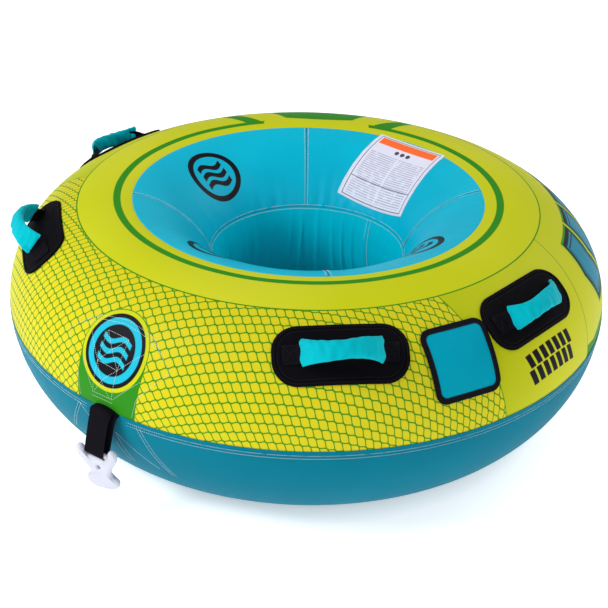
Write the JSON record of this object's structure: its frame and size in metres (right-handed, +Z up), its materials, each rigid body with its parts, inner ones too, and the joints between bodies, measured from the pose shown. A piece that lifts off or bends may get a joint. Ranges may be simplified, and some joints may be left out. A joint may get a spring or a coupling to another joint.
{
  "type": "towable tube",
  "caption": "Inflatable ring in a printed nylon cover with an open seat well, padded handles, a flap over its valve and a short tow strap with a hook.",
  "frame": {"origin": "on the ring's axis, at the floor it rests on", "axes": "+Z up the ring's axis; -Y towards the tow point"},
  "size_m": [1.37, 1.4123, 0.4768],
  "materials": {
    "vinyl": "satin",
    "printed_nylon": "coated weave, satin",
    "cyan_nylon": "coated weave, satin",
    "teal_nylon": "coated weave, satin",
    "yellow_nylon": "coated weave, satin",
    "black_webbing": "ribbed webbing",
    "neoprene": "knit-faced foam",
    "grip_cloth": "plain weave",
    "binding_tape": "ribbed tape",
    "hook_and_loop": "hook-and-loop",
    "hook_plastic": "moulded nylon",
    "valve_plastic": "moulded",
    "soft_rubber": "matt",
    "zip_coil": "moulded coil",
    "zip_metal": "plated",
    "pull_rubber": "matt",
    "label_cloth": "smooth printed cloth"
  },
  "bodies": {
    "tube": {"bladder": "vinyl", "deck_panel": "printed_nylon", "funnel_panel_1": "cyan_nylon", "funnel_panel_2": "cyan_nylon", "funnel_panel_3": "cyan_nylon", "funnel_panel_4": "cyan_nylon", "throat_panel": "cyan_nylon", "underside_panel": "teal_nylon", "throat_elastic": "soft_rubber", "tow_anchor_webbing": "black_webbing", "tow_patch_upper": "yellow_nylon", "tow_patch_lower": "teal_nylon", "handle_pad_1": "neoprene", "handle_pad_2": "neoprene", "handle_pad_3": "neoprene", "handle_pad_4": "neoprene", "handle_anchor_1": "black_webbing", "handle_anchor_2": "black_webbing", "handle_anchor_3": "black_webbing", "handle_anchor_4": "black_webbing", "flap_loop_tape": "hook_and_loop", "flap_hinge_tape": "binding_tape", "valve_opening_binding": "binding_tape", "valve_flange": "vinyl", "valve_base": "valve_plastic", "valve_leash": "soft_rubber", "zip_tape_upper": "binding_tape", "zip_tape_lower": "binding_tape", "zip_chain": "zip_coil", "zip_stops": "zip_metal", "label_patch": "label_cloth"},
    "handle_1": {"handle_loop_1": "black_webbing", "handle_grip_1": "grip_cloth"},
    "handle_2": {"handle_loop_2": "black_webbing", "handle_grip_2": "grip_cloth"},
    "handle_3": {"handle_loop_3": "black_webbing", "handle_grip_3": "grip_cloth"},
    "handle_4": {"handle_loop_4": "black_webbing", "handle_grip_4": "grip_cloth"},
    "flap": {"flap_panel": "teal_nylon", "flap_binding": "binding_tape", "flap_hook_tape": "hook_and_loop"},
    "valve_insert": {"valve_insert": "valve_plastic", "valve_membrane": "soft_rubber"},
    "valve_cap": {"valve_cap": "valve_plastic"},
    "tow_strap": {"tow_strap": "black_webbing"},
    "tow_hook": {"tow_hook": "hook_plastic"},
    "zip_slider": {"zip_slider": "zip_metal"},
    "zip_pull": {"zip_pull": "pull_rubber"}
  },
  "joints": [
    {"name": "handle_1_flop", "type": "hinge", "parent": "tube", "child": "handle_1", "pos_m": [-0.609, 0.01595, 0.42323], "axis": [-0.0262, -0.9997, 0], "range_deg": [-88, 12]},
    {"name": "handle_2_flop", "type": "hinge", "parent": "tube", "child": "handle_2", "pos_m": [-0.40764, -0.45273, 0.42323], "axis": [0.7431, -0.6691, 0], "range_deg": [-64, 36]},
    {"name": "handle_3_flop", "type": "hinge", "parent": "tube", "child": "handle_3", "pos_m": [0.39484, -0.46394, 0.42323], "axis": [0.7615, 0.6481, 0], "range_deg": [-62, 38]},
    {"name": "handle_4_flop", "type": "hinge", "parent": "tube", "child": "handle_4", "pos_m": [0.60204, -0.0932, 0.42323], "axis": [0.153, 0.9882, 0], "range_deg": [-64, 36]},
    {"name": "flap_lift", "type": "hinge", "parent": "tube", "child": "flap", "pos_m": [0.51463, -0.27479, 0.43647], "axis": [-0.471, -0.8821, 0], "range_deg": [0, 150]},
    {"name": "valve_insert_turn", "type": "hinge", "parent": "tube", "child": "valve_insert", "pos_m": [0.55081, -0.29411, 0.37568], "axis": [0.6801, -0.3631, 0.6369], "range_deg": [0, 540]},
    {"name": "valve_cap_turn", "type": "hinge", "parent": "valve_insert", "child": "valve_cap", "pos_m": [0.55829, -0.2981, 0.38268], "axis": [0.6801, -0.3631, 0.6369], "range_deg": [0, 450]},
    {"name": "tow_strap_swing", "type": "hinge", "parent": "tube", "child": "tow_strap", "pos_m": [0, -0.696, 0.259], "axis": [-1, 0, 0], "range_deg": [-12, 135]},
    {"name": "tow_hook_pivot", "type": "hinge", "parent": "tow_strap", "child": "tow_hook", "pos_m": [0, -0.719, 0.171], "axis": [1, 0, 0], "range_deg": [-110, 12]},
    {"name": "zip_travel", "type": "hinge", "parent": "tube", "child": "zip_slider", "pos_m": [0, 0, 0.066], "axis": [0, 0, 1], "range_deg": [0, 99.2]},
    {"name": "zip_pull_swing", "type": "hinge", "parent": "zip_slider", "child": "zip_pull", "pos_m": [0.46998, 0.39998, 0.06213], "axis": [0.5248, 0.4466, 0.7247], "range_deg": [-75, 75]}
  ]
}
